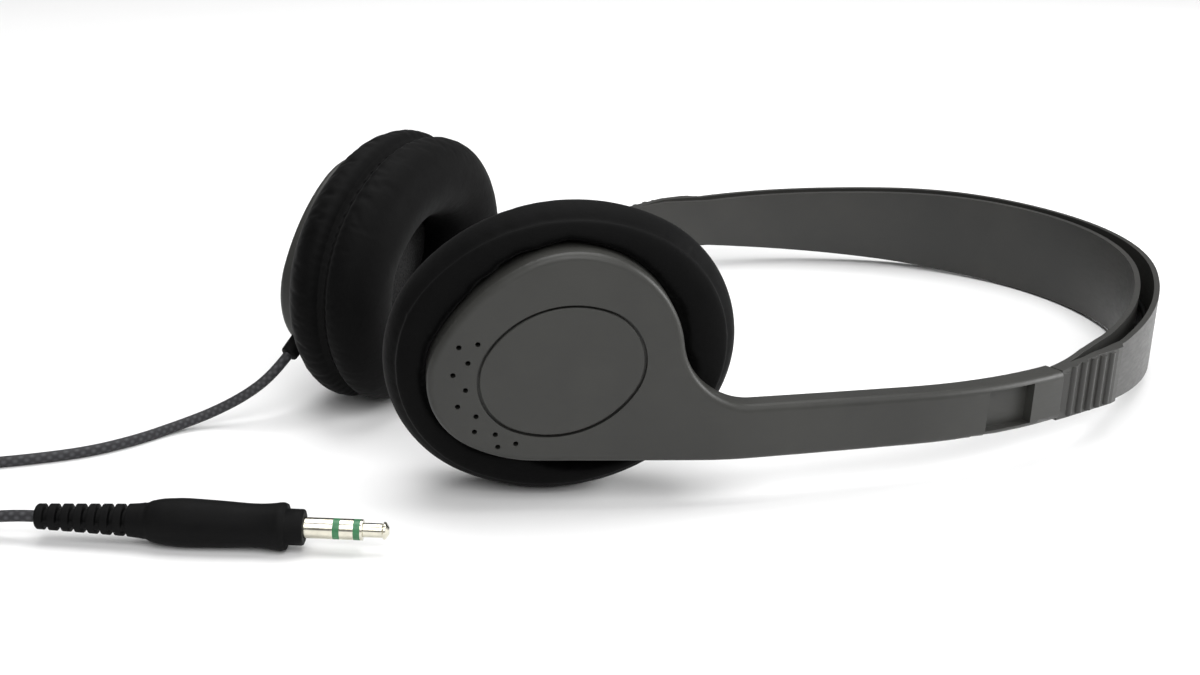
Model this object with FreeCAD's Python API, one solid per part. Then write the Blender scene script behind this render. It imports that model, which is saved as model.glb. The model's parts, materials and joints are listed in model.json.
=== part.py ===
"""Wired stereo headset lying on its side: two-strip headband, sliding arms, on-ear cushions, 3.5 mm plug.

Millimetres. The design frame has its X axis towards the crown and its origin level with the ear cups,
Y from the right cup to the left cup, and Z up, square to the plane of the headband's arch.
The left side is the right side mirrored in Y. REST then lays the whole headset on the floor at Z 0.
The lead, its coil and the plug are drawn straight in the rested frame.
"""
import FreeCAD
import Part

import math
import os

V = FreeCAD.Vector
UP = V(0, 0, 1)

# Arch: outer line of the headband from the crown round to a cup, as tangent arcs (length, radius).
ARCH = [(50.2, 59.9), (106.4, 102.1), (32.0, 1500.0), (10.5, 56.2)]
CROWN_X = 178.6
CUP_S = 222.0
CUP_RISE = 12.9

# Headband strips.
BAND_T = 1.2
CROWN_GAP = 2.9
CROWN_HALF = 10.5
NECK_HALF = 5.9
GRIP_START = 98.0
GRIP_END = 120.4
GRIP_MEETS = 117.0
GRIP_INNER = -2.6
GRIP_LOW = -5.6
GRIP_HIGH = 6.0
GRIP_SHOULDER = 4.6
GRIP_SLOPE = 109.0
RIB_COUNT = 5
RIB_PITCH = 3.0
RIB_R = 0.8
RIVET_R = 0.8
RIVET_S = 118.4
RIVET_Z = 2.6
RIVET_BITE = 0.9
RIVET_HEAD_T = 0.5
WIRE_R = 0.6
WIRE_S = 111.5
WIRE_GAP = 0.1

# Arm: hollow sleeve at its upper end, then a solid bar down to the cup.
ARM_END = 121.0
ARM_T = 4.5
ARM_ROUND = 1.3
SLEEVE_END = 157.0
CAVITY_T = 2.1
CAVITY_HALF = 4.1
CAVITY_DEPTH = -1.95
TONGUE_T = 1.7
TONGUE_HALF = 3.9
WINDOW = (129.5, 141.0)
WINDOW_LOW = -4.0
WINDOW_HIGH = 3.9

# Cup shell outline as a chain of tangent arcs: (radius, turn in degrees), a minus turn being clockwise.
LOBE = [(26.5, -27.5), (13.1, -90.6), (36.3, -33.6), (19.1, -109.7), (13.4, 81.0)]
LOBE_START = V(-5.4, -18.0, 0)
ARM_REACH = 110.0
DISC_R = 23.0
DISC_CENTRE = V(-1.0, 1.4, 0)
WALL = 1.6
RIM = 1.2
RIM_DEPTH = 8.1
BAFFLE_T = 1.5
BAFFLE_GAP = 0.15
CAP_OVAL = (14.5, 11.2, 9.4)
CAP_CENTRE = V(-1.5, -1.2, 0)
CAP_TURN = 20.0
CAP_T = 0.9
CAP_GROOVE = 0.45
CAP_BEVEL = 0.15
VENT_R = 0.45
VENTS = [(-19.3, 3.1), (-16.1, 3.7), (-17.7, 0.3), (-20.2, -1.9), (-18.0, -4.6), (-19.3, -7.6),
         (-16.1, -9.4), (-16.3, -12.2), (-12.7, -12.7), (-12.2, -15.0), (-9.1, -14.4)]

# Driver and its fixings.
DRIVER_CENTRE = V(0.5, 1.4, 0)
DRIVER_R = 13.5
DRIVER_LIP = 1.0
FRAME_T = 3.4
MAGNET_R = 6.5
MAGNET_T = 3.0
VOICE_R = 4.7
VOICE_WALL = 0.5
SOUND_HOLE_R = 1.3
POST_R = 1.7
POSTS = [(0.5, 16.9), (0.5, -14.5), (16.2, -5.0)]
SCREW_R = 0.8
SCREW_LENGTH = 4.0
HEAD_R = 1.5
HEAD_T = 0.9
FOAM_R = 16.5
FOAM_T = 2.0

# Cushion: oval ring of oval section (half its width, half its thickness).
PAD_OVAL = (23.5, 18.5, 16.0)
PAD_CENTRE = V(-0.3, -0.4, 0)
PAD_HALVES = (8.0, 9.5)
PAD_DEPTH = 13.2
PAD_TURN = 12.0

# How the headset lies: tipped so that the cushions and the crown both touch the floor.
REST_TURN = 1.2
REST_SHIFT = V(-77.9, 0.0, 14.27)

# Lead, coil and plug, in the rested frame.
LEAD_R = 1.0
GROMMET_AT = V(-20.3, -13.0, -2.2)
GROMMET_WAY = V(-0.80, -0.58, 0.15)
GROMMET_RADII = (1.9, 1.7)
GROMMET_LENGTH = 4.2
GROMMET_ROUND = 0.5
STEM_R = 1.4
CUP_ROUTE = [(-98.2, 27.1, 12.2), (-102.3, 25.7, 9.25), (-107.7, 26.5, 5.8), (-114.0, 28.9, 2.6),
             (-121.5, 29.7, 1.0), (-130.0, 27.5, 1.0), (-139.5, 26.9, 1.0), (-149.3, 29.1, 1.0),
             (-158.9, 32.3, 1.0), (-169.5, 36.1, 1.0), (-180.3, 38.9, 1.0)]
PLUG_ROUTE = [(-179.5, 4.7, 1.0), (-173.6, 6.3, 1.3), (-167.9, 5.4, 2.9), (-162.8, 1.9, 4.1), (-158.5, -1.5, 4.1)]
COIL_CENTRE = V(-186.0, 22.5, 0)
COIL_IN = 5.0
COIL_OUT = 19.5
COIL_HIGH = 8.0
PLUG_START = V(-158.5, -1.5, 4.1)
PLUG_WAY = V(0.784, -0.620, 0)
RELIEF_RIBS = 7
RELIEF_PITCH = 2.2
RELIEF_R = (2.15, 2.7)
RELIEF_GROOVE = 0.5
HANDLE = [(15.6, 2.75), (18.0, 3.3), (20.5, 3.85), (24.5, 4.1), (30.0, 3.9), (36.2, 3.6), (39.0, 3.75),
          (40.7, 4.05), (41.5, 4.05), (41.6, 3.05), (44.5, 3.05)]
PIN_R = 1.75
PIN_LENGTH = 14.0
SLEEVE_END_AT = 4.8
RING_END_AT = 8.2
INSULATOR = 1.1
NECK_R = 1.2
NECK_START = 9.7
NECK_END = 12.9


# ---------------------------------------------------------------- the arch and the two frames
def outward(theta):
    """Outward normal of the right half of the arch where it has turned by theta."""
    return V(math.cos(theta), -math.sin(theta), 0)


def arch(s):
    """Point of the arch at s from the crown, and how far it has turned; a negative s is the left half."""
    if s < 0:
        point, theta = arch(-s)
        return V(point.x, -point.y, 0), -theta
    point, theta, left = V(CROWN_X, 0, 0), 0.0, s
    for length, radius in ARCH:
        run = min(left, length)
        centre = point - outward(theta) * radius
        theta += run / radius
        point = centre + outward(theta) * radius
        left -= run
    return point + V(-math.sin(theta), -math.cos(theta), 0) * left, theta


def on_arch(s, offset=0.0, z=0.0):
    """Point at s along the arch, offset outwards and raised to z."""
    point, theta = arch(s)
    return point + outward(theta) * offset + UP * z


def in_cup(shape):
    """Moves a shape from the cup's own frame (u to the crown, v up, n outwards) to the design frame."""
    point, theta = arch(CUP_S)
    n = outward(theta)
    u = V(math.sin(theta), math.cos(theta), 0)
    place = FreeCAD.Matrix(u.x, 0, n.x, point.x, u.y, 0, n.y, point.y, 0, 1, 0, CUP_RISE, 0, 0, 0, 1)
    return shape.transformed(place)


def mirrored(shape):
    """The left-hand copy of a right-hand shape."""
    return shape.mirror(V(0, 0, 0), V(0, 1, 0))


def rested(shape):
    """Moves a shape from the design frame to the rested frame."""
    rest = FreeCAD.Placement(REST_SHIFT, FreeCAD.Rotation(V(0, 1, 0), REST_TURN))
    return shape.transformed(rest.toMatrix())


# ---------------------------------------------------------------- small shape helpers
def face_of(edges):
    """Plane face bounded by edges given in any order."""
    return Part.Face(Part.Wire(Part.__sortEdges__(edges)))


def cylinder(radius, low, high, centre=V(0, 0, 0)):
    """Upright cylinder between two heights."""
    return Part.makeCylinder(radius, high - low, V(centre.x, centre.y, low))


def spline(points):
    """Smooth edge through the points."""
    line = Part.BSplineCurve()
    line.interpolate(points)
    return line.toShape()


def tangent_arcs(start, heading, steps):
    """Edges of a chain of tangent arcs, and the point and heading at its end."""
    edges, point = [], start
    for radius, turn in steps:
        side = 1 if turn > 0 else -1
        centre = point + V(-math.sin(heading), math.cos(heading), 0) * radius * side

        def at(angle):
            """Point of this arc after it has turned by angle."""
            return centre + V(math.sin(heading + angle), -math.cos(heading + angle), 0) * radius * side

        turned = math.radians(turn)
        edges.append(Part.Arc(point, at(turned / 2), at(turned)).toShape())
        point, heading = at(turned), heading + turned
    return edges, point, heading


def oval(halves, turn=0.0, centre=V(0, 0, 0)):
    """Closed wire of four tangent arcs with those half length and half width, the first number's ends rounder."""
    long_half, short_half, end_r = halves
    reach = long_half - end_r
    side_r = (reach ** 2 + short_half ** 2 - end_r ** 2) / (2 * (short_half - end_r))
    half_side = math.degrees(math.atan2(reach, side_r - short_half))
    steps = [(side_r, 2 * half_side), (end_r, 180 - 2 * half_side)] * 2
    start = V(-reach * side_r / (side_r - end_r), 0, 0)
    start.y = side_r - short_half - math.sqrt(side_r ** 2 - start.x ** 2)
    wire = Part.Wire(tangent_arcs(start, -math.radians(half_side), steps)[0])
    wire.rotate(V(0, 0, 0), UP, turn)
    wire.translate(centre)
    return wire


def prism(wire, low, high):
    """Solid of a flat closed wire between two heights."""
    face = Part.Face(wire)
    face.translate(UP * low)
    return face.extrude(UP * (high - low))


def joined(shapes):
    """One solid from overlapping or touching shapes."""
    return shapes[0].fuse(shapes[1:]).removeSplitter()


def ribbon(start, end, outer, inner, low, high):
    """Strip along the arch between two offsets, each a function of s, and two heights."""
    count = int((end - start) / 7.0) + 3
    stations = [start + (end - start) * i / (count - 1) for i in range(count)]
    lines = [[on_arch(s, offset(s)) for s in stations] for offset in (outer, inner)]
    ends = [Part.makeLine(lines[0][i], lines[1][i]) for i in (0, -1)]
    face = face_of([spline(lines[0]), spline(lines[1])] + ends)
    face.translate(UP * low)
    return face.extrude(UP * (high - low))


def arch_edges(start, end, offset):
    """Exact arcs and lines of the arch between two lengths, at a constant offset."""
    joints, total = [start], 0.0
    for length, radius in ARCH:
        total += length
        if start < total < end:
            joints.append(total)
    joints.append(end)
    edges = []
    for low, high in zip(joints, joints[1:]):
        here, there = on_arch(low, offset), on_arch(high, offset)
        if low >= total:
            edges.append(Part.makeLine(here, there))
        else:
            edges.append(Part.Arc(here, on_arch((low + high) / 2, offset), there).toShape())
    return edges


# ---------------------------------------------------------------- headband
def gap_share(s):
    """How open the gap between the two strips is, from 1 at the crown to 0 at the grip."""
    share = (GRIP_MEETS - abs(s)) / (GRIP_MEETS - GRIP_START)
    share = max(0.0, min(1.0, share))
    return share * share * (3 - 2 * share)


def inner_face(s):
    """Offset of the inner strip's outer face."""
    return GRIP_INNER - (BAND_T + CROWN_GAP + GRIP_INNER) * gap_share(s)


def width_cutter():
    """Block whose height is the strips' width at each X: wide at the crown, narrow at the grips."""
    crown = CROWN_X + 5
    neck = arch(GRIP_START)[0].x
    low_x = neck - 60
    shape = [(crown, 1.0), (CROWN_X - 4, 0.97), (CROWN_X - 18, 0.72), (CROWN_X - 40, 0.36), (neck, 0.0)]
    halves = [(x, NECK_HALF + (CROWN_HALF - NECK_HALF) * share) for x, share in shape]
    edges = []
    for side in (1, -1):
        edges.append(spline([V(x, 0, side * half) for x, half in halves]))
        edges.append(Part.makeLine(V(neck, 0, side * NECK_HALF), V(low_x, 0, side * NECK_HALF)))
    for x, half in ((crown, halves[0][1]), (low_x, NECK_HALF)):
        edges.append(Part.makeLine(V(x, 0, half), V(x, 0, -half)))
    face = face_of(edges)
    face.translate(V(0, -100, 0))
    return face.extrude(V(0, 200, 0))


def grip():
    """Right-hand thumb grip: a wedge that rises towards the crown, with upright ribs and a tongue below."""
    top = [(GRIP_END, -0.9), (118.0, -0.8), (102.5, 0.9), (100.6, 0.9), (99.0, 0.0), (GRIP_START, 0.0)]
    under = [(GRIP_START, -BAND_T), (106.0, -1.5), (112.0, -1.9), (GRIP_MEETS, GRIP_INNER), (GRIP_END, GRIP_INNER)]
    corners = [on_arch(s, offset) for s, offset in top + under]
    block = prism(Part.makePolygon(corners + corners[:1]), GRIP_LOW, GRIP_HIGH)
    ribs = []
    for i in range(RIB_COUNT):
        s = 116.6 - RIB_PITCH * i
        height = -0.8 + 1.7 * (118.0 - s) / 15.5
        ribs.append(cylinder(RIB_R, GRIP_LOW + 0.4, GRIP_HIGH - 0.4, on_arch(s, height - 0.35)))
    return joined([block] + ribs).cut(shoulder())


def shoulder():
    """Wedge above the right-hand grip, which lowers the strips' upper edges to the arm's height."""
    low, high = GRIP_END + 3.0, GRIP_SLOPE
    drop = (GRIP_HIGH - GRIP_SHOULDER) * (low - high) / (GRIP_END - high)
    near, far = on_arch(high, 8.0), on_arch(low, 8.0)
    way = far - near
    face = Part.Face(Part.makePolygon([near + UP * GRIP_HIGH, far + UP * GRIP_HIGH,
                                       far + UP * (GRIP_HIGH - drop), near + UP * GRIP_HIGH]))
    return face.extrude(way.cross(UP).normalize() * 20.0)


def along_sleeve():
    """Start point and unit direction of the straight line that the tongue slides along."""
    start, end = on_arch(ARM_END, CAVITY_DEPTH), on_arch(SLEEVE_END, CAVITY_DEPTH)
    way = end - start
    return start, way / way.Length, way.Length


def bar(back, front, thick, half):
    """Flat bar on the sleeve's line, from back before its start to front beyond it."""
    start, way, length = along_sleeve()
    across = V(-way.y, way.x, 0)
    block = Part.makeBox(front + back, thick, 2 * half, V(-back, -thick / 2, -half))
    place = FreeCAD.Matrix(way.x, across.x, 0, start.x, way.y, across.y, 0, start.y, 0, 0, 1, 0, 0, 0, 0, 1)
    return block.transformed(place)


def outer_band():
    """Outer strip with a ribbed grip and a sliding tongue at each end, moulded in one."""
    reach = GRIP_START + 1.0
    arc = ribbon(-reach, reach, lambda s: 0.0, lambda s: -BAND_T, -20, 20).common(width_cutter())
    length = along_sleeve()[2]
    end = joined([grip(), bar(3.0, length - 1.0, TONGUE_T, TONGUE_HALF)])
    return joined([arc, end, mirrored(end)]).cut(rivets() + [bridge_wire()])


def inner_band():
    """Inner strip that bears on the head."""
    reach = GRIP_END
    arc = ribbon(-reach, reach, inner_face, lambda s: inner_face(s) - BAND_T, -20, 20)
    arc = arc.common(width_cutter())
    return arc.cut(rivets() + [outer_band(), shoulder(), mirrored(shoulder())])


def rivets():
    """Two rivets at each end of the inner strip: a shank into the grip and a flat head on the inside."""
    made = []
    way = outward(arch(RIVET_S)[1])
    for z in (-RIVET_Z, RIVET_Z):
        start = on_arch(RIVET_S, GRIP_INNER - BAND_T, z)
        shank = Part.makeCylinder(RIVET_R, BAND_T + RIVET_BITE, start, way)
        head = Part.makeCylinder(2 * RIVET_R, RIVET_HEAD_T, start - way * RIVET_HEAD_T, way)
        rivet = joined([shank, head])
        made += [rivet, mirrored(rivet)]
    return made


def bridge_wire():
    """Thin wire that runs between the two strips to the cup that has no lead of its own."""
    half = arch_edges(0, WIRE_S, -BAND_T - WIRE_GAP - WIRE_R)
    path = Part.Wire(Part.__sortEdges__(half + [mirrored(edge) for edge in half]))
    end, across = on_arch(WIRE_S, -BAND_T - WIRE_GAP - WIRE_R), outward(arch(WIRE_S)[1])
    section = Part.Wire(Part.makeCircle(WIRE_R, end, across.cross(UP)))
    return path.makePipeShell([section], True, False)


# ---------------------------------------------------------------- one cup and its arm, right-hand, in the cup's frame
def outline():
    """Closed wire round the cup shell and its arm, seen from outside."""
    edges, point, heading = tangent_arcs(LOBE_START, math.pi, LOBE)
    top = V(ARM_REACH, point.y + (ARM_REACH - point.x) * math.tan(heading), 0)
    low = V(ARM_REACH, LOBE_START.y, 0)
    lines = [Part.makeLine(point, top), Part.makeLine(top, low), Part.makeLine(low, LOBE_START)]
    return Part.Wire(edges + lines)


def disc(wire, radius, low, high):
    """Cup end of an outline between two depths, cut round where the arm leaves it."""
    body = prism(wire, low, high)
    end = Part.makeBox(4 * radius, 4 * radius, high - low, V(-4 * radius, -2 * radius, low))
    return joined([body.common(cylinder(radius, low, high, DISC_CENTRE)), body.common(end)])


def arm_blank():
    """Solid arm and cup shell in the design frame, with rounded outer edges and no hollows yet."""
    ends = [Part.makeLine(on_arch(s, 0), on_arch(s, -ARM_T)) for s in (ARM_END, CUP_S)]
    face = face_of(arch_edges(ARM_END, CUP_S, 0) + arch_edges(ARM_END, CUP_S, -ARM_T) + ends)
    face.translate(UP * -40)
    arm = face.extrude(UP * 80).common(in_cup(prism(outline(), -60, 60)))
    blank = joined([arm, in_cup(disc(outline(), DISC_R, -RIM_DEPTH, 0))])
    return blank.makeFillet(ARM_ROUND, outer_edges(blank))


def outer_edges(blank):
    """Edges round the blank's outer skin, without its upper end."""
    skin = face_of(arch_edges(ARM_END - 5, CUP_S + 50, 0.0) + arch_edges(ARM_END - 5, CUP_S + 50, 0.5)
                   + [Part.makeLine(on_arch(s, 0), on_arch(s, 0.5)) for s in (ARM_END - 5, CUP_S + 50)])
    skin.translate(UP * -40)
    skin = skin.extrude(UP * 80)
    chosen = []
    for edge in blank.Edges:
        low, high = edge.ParameterRange
        points = [edge.valueAt(low + (high - low) * i / 4) for i in range(5)]
        on_skin = all(skin.distToShape(Part.Vertex(p))[0] < 1e-4 for p in points)
        upright = abs(points[0].z - points[-1].z) > 2 and edge.Curve.TypeId == "Part::GeomLine"
        if on_skin and not upright:
            chosen.append(edge)
    return chosen


def shell():
    """Hollow cup shell with its arm, sleeve, window, vents, screw posts and cap recess."""
    back = -(RIM_DEPTH - BAFFLE_T)
    inner = outline().makeOffset2D(-RIM)
    hollow = disc(inner, DISC_R - RIM, -RIM_DEPTH - 1, -WALL)
    for u, v in POSTS:
        hollow = hollow.cut(cylinder(POST_R, back, -WALL, V(u, v, 0)))
    cuts = [hollow]
    cuts += [cylinder(SCREW_R, back - 1, back + SCREW_LENGTH - BAFFLE_T, V(u, v, 0)) for u, v in POSTS]
    cuts += [cylinder(VENT_R, -WALL - 1, 1, V(u, v, 0)) for u, v in VENTS]
    recess = [half + CAP_GROOVE for half in CAP_OVAL]
    cuts.append(prism(oval(recess, CAP_TURN, CAP_CENTRE), -CAP_T, 1))
    sleeve = bar(5.0, along_sleeve()[2] + 1.0, CAVITY_T, CAVITY_HALF)
    return arm_blank().cut([in_cup(cut) for cut in cuts] + [sleeve, window()])


def window():
    """Opening through the sleeve's outer wall."""
    sides = [on_arch(s, offset) for s, offset in
             [(WINDOW[0], CAVITY_DEPTH), (WINDOW[0], 3), (WINDOW[1], 3), (WINDOW[1], CAVITY_DEPTH)]]
    return prism(Part.makePolygon(sides + sides[:1]), WINDOW_LOW, WINDOW_HIGH)


def cap():
    """Oval plate set flush into the shell's face, its outer edge bevelled."""
    plate = prism(oval(CAP_OVAL, CAP_TURN, CAP_CENTRE), -CAP_T, 0)
    rim = [edge for edge in plate.Edges if abs(edge.CenterOfMass.z) < 1e-6]
    return plate.makeChamfer(CAP_BEVEL, rim)


def screw(u, v):
    """One screw, its head sunk in the baffle."""
    low = -RIM_DEPTH
    head = cylinder(HEAD_R, low, low + HEAD_T, V(u, v, 0))
    return joined([head, cylinder(SCREW_R, low, low + SCREW_LENGTH, V(u, v, 0))])


def baffle():
    """Plate that closes the shell, with a ring of sound holes and its screws' countersinks."""
    inner = outline().makeOffset2D(-RIM - BAFFLE_GAP)
    plate = disc(inner, DISC_R - RIM - BAFFLE_GAP, -RIM_DEPTH, -RIM_DEPTH + BAFFLE_T)
    holes = [cylinder(SOUND_HOLE_R, -RIM_DEPTH - 1, 0, DRIVER_CENTRE)]
    for ring, count in ((4.6, 6), (8.8, 10)):
        for i in range(count):
            angle = 2 * math.pi * i / count
            spot = DRIVER_CENTRE + V(math.cos(angle), math.sin(angle), 0) * ring
            holes.append(cylinder(SOUND_HOLE_R, -RIM_DEPTH - 1, 0, spot))
    return plate.cut(holes + [screw(u, v) for u, v in POSTS])


def driver():
    """Frame, magnet, voice coil, diaphragm and terminal board of the loudspeaker behind the baffle."""
    face = -(RIM_DEPTH - BAFFLE_T)
    back = face + FRAME_T
    inside = DRIVER_R - DRIVER_LIP
    frame = cylinder(DRIVER_R, face, back, DRIVER_CENTRE)
    frame = frame.cut(cylinder(inside, face - 1, back - 0.8, DRIVER_CENTRE))
    frame = frame.cut(cylinder(MAGNET_R, face, back + 1, DRIVER_CENTRE))
    magnet = cylinder(MAGNET_R, back - 1.4, back - 1.4 + MAGNET_T - 0.4, DRIVER_CENTRE)
    groove = tube(VOICE_R + 0.3, VOICE_R - VOICE_WALL - 0.3, back - 2, back + 0.3)
    coil = tube(VOICE_R, VOICE_R - VOICE_WALL, face + 0.7, back - 0.2)
    diaphragm = cylinder(inside, face + 0.4, face + 0.7, DRIVER_CENTRE)
    board = Part.makeBox(3.0, 6.0, 0.5, DRIVER_CENTRE + V(MAGNET_R + 0.8, -3.0, back))
    return {"driver_frame": frame, "magnet": magnet.cut(groove), "voice_coil": coil,
            "diaphragm": diaphragm, "terminal_board": board}


def tube(outer, inner, low, high):
    """Upright ring on the driver's centre."""
    return cylinder(outer, low, high, DRIVER_CENTRE).cut(cylinder(inner, low - 1, high + 1, DRIVER_CENTRE))


def foam_disc():
    """Thin acoustic foam over the baffle."""
    return cylinder(FOAM_R, -RIM_DEPTH - FOAM_T, -RIM_DEPTH)


def cushion():
    """Oval ring cushion, in the design frame, hollowed where it sits on the shell and the foam."""
    path = oval(PAD_OVAL, PAD_TURN, PAD_CENTRE - UP * PAD_DEPTH)
    start = path.Edges[0].valueAt(path.Edges[0].FirstParameter)
    way = path.Edges[0].tangentAt(path.Edges[0].FirstParameter)
    half_width, half_thick = PAD_HALVES
    side = start + way.cross(UP) * half_width
    section = Part.Wire(Part.Ellipse(start + UP * half_thick, side, start).toShape())
    ring = path.makePipeShell([section], True, False)
    return in_cup(ring).cut([arm_blank(), in_cup(foam_disc())])


def cup_parts():
    """Every piece of the right-hand cup and arm, by name, in the design frame."""
    made = {"cap": cap(), "baffle": baffle(), "foam_disc": foam_disc()}
    made["screws"] = Part.makeCompound([screw(u, v) for u, v in POSTS])
    made.update(driver())
    made = {name: in_cup(shape) for name, shape in made.items()}
    made["shell"] = shell()
    made["cushion"] = cushion()
    return made


# ---------------------------------------------------------------- lead, coil and plug, in the rested frame
def grommet():
    """Strain relief in the shell's rim, and the stem that holds it there, in the cup's frame."""
    way = V(GROMMET_WAY).normalize()
    stem = Part.makeCylinder(STEM_R, 3.0, GROMMET_AT - way * 2.2, way)
    root, tip = GROMMET_RADII
    cone = Part.makeCone(root, tip, GROMMET_LENGTH + 0.8, GROMMET_AT - way * 0.8, way)
    end = GROMMET_AT + way * GROMMET_LENGTH
    rim = [edge for edge in cone.Edges if (edge.CenterOfMass - end).Length < 0.01]
    return stem, cone.makeFillet(GROMMET_ROUND, rim)


def lead_tube(route):
    """Round tube along straight runs joined by arcs as large as the runs allow; prints the arcs' radii."""
    edges, here, radii = [], route[0], []
    for before, corner, after in zip(route, route[1:], route[2:]):
        first, second = corner - before, after - corner
        turn = first.getAngle(second)
        shorter = min(first.Length, second.Length)
        radius = 0.45 * shorter / math.tan(turn / 2)
        radii.append(radius)
        cut = 0.45 * shorter
        start = corner - first.normalize() * cut
        end = corner + second.normalize() * cut
        middle = corner + (start + end - corner * 2).normalize() * (radius / math.cos(turn / 2) - radius)
        edges.append(Part.makeLine(here, start))
        edges.append(Part.Arc(start, middle, end).toShape())
        here = end
    edges.append(Part.makeLine(here, route[-1]))
    path = Part.Wire(edges)
    section = Part.Wire(Part.makeCircle(LEAD_R, route[0], route[1] - route[0]))
    solid = path.makePipeShell([section], True, False)
    share = solid.Volume / (math.pi * LEAD_R ** 2 * path.Length)
    print("lead of", round(path.Length, 1), "mm, volume share", round(share, 3),
          "arc radii", [round(radius, 1) for radius in radii])
    return solid


def lead_coil():
    """Outer shape of the put-away coil."""
    ring = cylinder(COIL_OUT, 0, COIL_HIGH, COIL_CENTRE)
    return ring.cut(cylinder(COIL_IN, -1, COIL_HIGH + 1, COIL_CENTRE))


def turned(profile):
    """Solid turned about the plug's axis from (distance along it, radius) corners."""
    corners = [V(along, radius, 0) for along, radius in profile]
    corners = [V(corners[0].x, 0, 0)] + corners + [V(corners[-1].x, 0, 0)]
    face = Part.Face(Part.makePolygon(corners + corners[:1]))
    solid = face.revolve(V(0, 0, 0), V(1, 0, 0), 360)
    solid.rotate(V(0, 0, 0), UP, math.degrees(math.atan2(PLUG_WAY.y, PLUG_WAY.x)))
    solid.translate(PLUG_START)
    return solid


def plug_parts():
    """Moulded handle with its ribbed strain relief, and the plug's three contacts and two insulators."""
    thin, thick = RELIEF_R
    relief = []
    for i in range(RELIEF_RIBS):
        low = RELIEF_PITCH * i
        radius = thin + (thick - thin) * i / (RELIEF_RIBS - 1)
        floor = radius - RELIEF_GROOVE
        relief += [(low, floor), (low + 0.2, radius), (low + 1.4, radius), (low + 1.6, floor)]
    face = HANDLE[-1][0]
    sleeve = [(face, PIN_R), (face + SLEEVE_END_AT, PIN_R)]
    ring = [(face + SLEEVE_END_AT + INSULATOR, PIN_R), (face + RING_END_AT, PIN_R)]
    tip = face + RING_END_AT + INSULATOR
    point = [(tip, PIN_R), (face + NECK_START, PIN_R), (face + NECK_START + 0.1, NECK_R),
             (face + NECK_END, NECK_R), (face + NECK_END + 0.3, 1.5), (face + NECK_END + 0.6, 1.4),
             (face + PIN_LENGTH, 0.6)]
    spacers = [turned([(face + at, PIN_R), (face + at + INSULATOR, PIN_R)])
               for at in (SLEEVE_END_AT, RING_END_AT)]
    return {"plug_handle": turned(relief + HANDLE), "plug_sleeve": turned(sleeve), "plug_ring": turned(ring),
            "plug_tip": turned(point), "plug_insulators": Part.makeCompound(spacers)}


# ---------------------------------------------------------------- everything, by node name
def all_parts():
    """Every node's shape in the rested frame."""
    band = {"outer_band": outer_band(), "inner_band": inner_band(), "bridge_wire": bridge_wire(),
            "band_rivets": Part.makeCompound(rivets())}
    right = cup_parts()
    left = {name: mirrored(shape) for name, shape in right.items()}
    stem, cone = [mirrored(in_cup(piece)) for piece in grommet()]
    left["shell"] = left["shell"].cut(stem)
    band["cord_grommet"] = joined([stem, cone.cut(left["shell"])])
    band.update({"right_" + name: shape for name, shape in right.items()})
    band.update({"left_" + name: shape for name, shape in left.items()})
    made = {name: rested(shape) for name, shape in band.items()}
    made["cup_lead"] = lead_tube([V(*point) for point in CUP_ROUTE])
    made["plug_lead"] = lead_tube([V(*point) for point in PLUG_ROUTE])
    made["lead_coil"] = lead_coil()
    made.update(plug_parts())
    return made


os.makedirs("parts", exist_ok=True)
for node, shape in all_parts().items():
    solids = shape.Solids
    Part.makeCompound(solids).exportStep("parts/" + node + ".step")
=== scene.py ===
"""Looks of the wired stereo headset: materials, ring cushions, foam, cord, plug, floor, light and camera.

Metres, in the CAD model's own frame: +X towards the crown, +Y towards the left cup, Z up from the floor.
Sizes of the cord, plug and cushions are in millimetres until a mesh is made of them.
"""

import json
import math
import random

import bmesh
import bpy
import numpy as np
from mathutils import Matrix, Vector


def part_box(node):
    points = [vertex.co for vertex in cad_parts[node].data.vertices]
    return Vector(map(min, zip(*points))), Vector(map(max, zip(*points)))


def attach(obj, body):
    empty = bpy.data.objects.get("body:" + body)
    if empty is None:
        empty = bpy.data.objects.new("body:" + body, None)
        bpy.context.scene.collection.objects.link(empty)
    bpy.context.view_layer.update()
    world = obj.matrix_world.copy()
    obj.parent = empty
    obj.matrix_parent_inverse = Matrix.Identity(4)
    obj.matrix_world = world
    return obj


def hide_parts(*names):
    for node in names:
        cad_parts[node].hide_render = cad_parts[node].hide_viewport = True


MM = 0.001

# Camera: where it stands, where it looks, its roll to the right and its lens on a 36 mm wide sensor.
CAMERA_AT = (-0.23678, -0.25723, 0.12634)
CAMERA_AIM = (0.57045, 0.75227, -0.32968)
CAMERA_ROLL = math.radians(1.9)
CAMERA_LENS = 50.27
SENSOR = 36.0

# Stage: floor's half side, brightness all round, the place lit, and softboxes (name, place, side, watts).
FLOOR_HALF = 3.0
SURROUND = 0.16
LIT_PLACE = (0.0, 0.0, 0.02)
SOFTBOXES = [("key_box", (-0.45, -0.75, 0.85), 0.9, 11.5),
             ("side_box", (0.75, -0.45, 0.4), 0.5, 8.0),
             ("top_box", (0.1, 0.25, 1.0), 0.9, 10.0)]

# Radius that softens moulded and turned edges, and the ridges of the cord's jacket along it and round it.
PLASTIC_EDGE = 0.0001
RUBBER_EDGE = 0.00012
RIDGES_ALONG = 1900.0
RIDGES_ROUND = 4.0

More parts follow.
